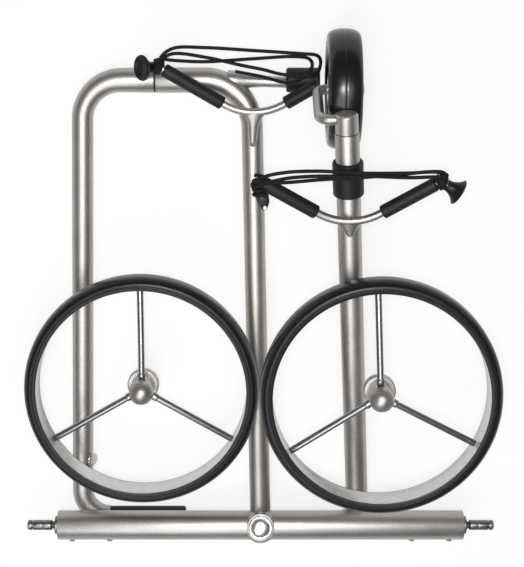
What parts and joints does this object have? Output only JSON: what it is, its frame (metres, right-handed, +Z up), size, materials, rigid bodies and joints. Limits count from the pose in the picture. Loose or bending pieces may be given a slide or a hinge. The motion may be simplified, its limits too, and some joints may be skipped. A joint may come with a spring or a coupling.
{
  "type": "golf push cart",
  "caption": "Folded three-wheel golf push cart in satin tube, its two quick-release rear wheels taken off and laid flat on the frame.",
  "frame": {"origin": "on the ground under the middle of the folded cart's bounding box", "axes": "+Z up from the ground it lies on, +Y from the rear axle towards the top bend and the front wheel, +X from the handle's side to the front arm's side"},
  "size_m": [0.5942, 0.656, 0.1698],
  "materials": {
    "titanium": "bead-blasted satin",
    "steel": "polished",
    "rim_satin": "satin anodised",
    "rubber": "fine ribbed, matt",
    "tyre_rubber": "matt",
    "plastic": "semi-gloss moulded",
    "elastic": "braided sleeve"
  },
  "bodies": {
    "frame": {"axle_tube": "titanium", "axle_screw_1": "steel", "axle_screw_2": "steel", "axle_screw_3": "steel", "axle_screw_4": "steel", "axle_collar_left": "steel", "stub_axle_left": "steel", "axle_collar_right": "steel", "stub_axle_right": "steel", "pivot_ring": "steel", "pivot_bolt": "steel", "pivot_washer": "plastic", "main_frame_tube": "titanium", "joint_seal": "plastic", "branch_buffer": "rubber", "upper_bracket": "titanium", "upper_grip_left": "rubber", "upper_grip_right": "rubber", "upper_knob": "plastic", "upper_cord": "elastic"},
    "handle": {"handle_tube": "titanium", "handle_grip": "rubber", "handle_stud": "steel"},
    "front_arm": {"pivot_nut": "steel", "front_arm_tube": "titanium", "arm_bumper": "rubber", "arm_sleeve": "rubber", "fork_crown": "titanium", "fork_rod": "titanium", "front_nut": "steel", "lower_bracket": "titanium", "lower_grip_left": "rubber", "lower_grip_right": "rubber", "lower_knob": "plastic", "lower_cord": "elastic", "cord_hook": "plastic"},
    "front_wheel": {"front_tyre": "tyre_rubber", "front_hub": "plastic", "front_bearing_left": "steel", "front_bearing_right": "steel"},
    "left_socket": {"left_hub_socket": "titanium", "left_hub_bearing": "steel"},
    "left_latch": {"left_latch_pin": "steel"},
    "left_wheel": {"left_tyre": "tyre_rubber", "left_rim": "rim_satin", "left_spoke_1": "steel", "left_spoke_2": "steel", "left_spoke_3": "steel", "left_hub": "titanium"},
    "right_socket": {"right_hub_socket": "titanium", "right_hub_bearing": "steel"},
    "right_latch": {"right_latch_pin": "steel"},
    "right_wheel": {"right_tyre": "tyre_rubber", "right_rim": "rim_satin", "right_spoke_1": "steel", "right_spoke_2": "steel", "right_spoke_3": "steel", "right_hub": "titanium"}
  },
  "joints": [
    {"name": "handle_turn", "type": "hinge", "parent": "frame", "child": "handle", "pos_m": [-0.1282, 0.26282, 0.0153], "axis": [1, 0, 0], "range_deg": [0, 180]},
    {"name": "front_arm_release", "type": "slide", "parent": "frame", "child": "front_arm", "axis": [0, -0.2588, -0.9659], "range_m": [0, 0.014]},
    {"name": "front_wheel_spin", "type": "hinge", "parent": "front_arm", "child": "front_wheel", "pos_m": [0.0978, 0.25704, 0.07219], "axis": [1, 0, 0], "continuous": true},
    {"name": "left_wheel_lift", "type": "slide", "parent": "frame", "child": "left_socket", "axis": [0, 0, 1], "range_m": [0, 0.1]},
    {"name": "left_wheel_spin", "type": "hinge", "parent": "left_socket", "child": "left_wheel", "pos_m": [-0.1463, -0.11168, 0.07375], "axis": [0, 0, 1], "continuous": true},
    {"name": "left_latch_pull", "type": "slide", "parent": "left_socket", "child": "left_latch", "axis": [0, -1, 0], "range_m": [0, 0.003], "stiffness_N_per_m": 400},
    {"name": "right_wheel_lift", "type": "slide", "parent": "front_arm", "child": "right_socket", "axis": [0, 0, 1], "range_m": [0, 0.1]},
    {"name": "right_wheel_spin", "type": "hinge", "parent": "right_socket", "child": "right_wheel", "pos_m": [0.1434, -0.10028, 0.13775], "axis": [0, 0, 1], "continuous": true},
    {"name": "right_latch_pull", "type": "slide", "parent": "right_socket", "child": "right_latch", "axis": [0, -1, 0], "range_m": [0, 0.003], "stiffness_N_per_m": 400}
  ]
}
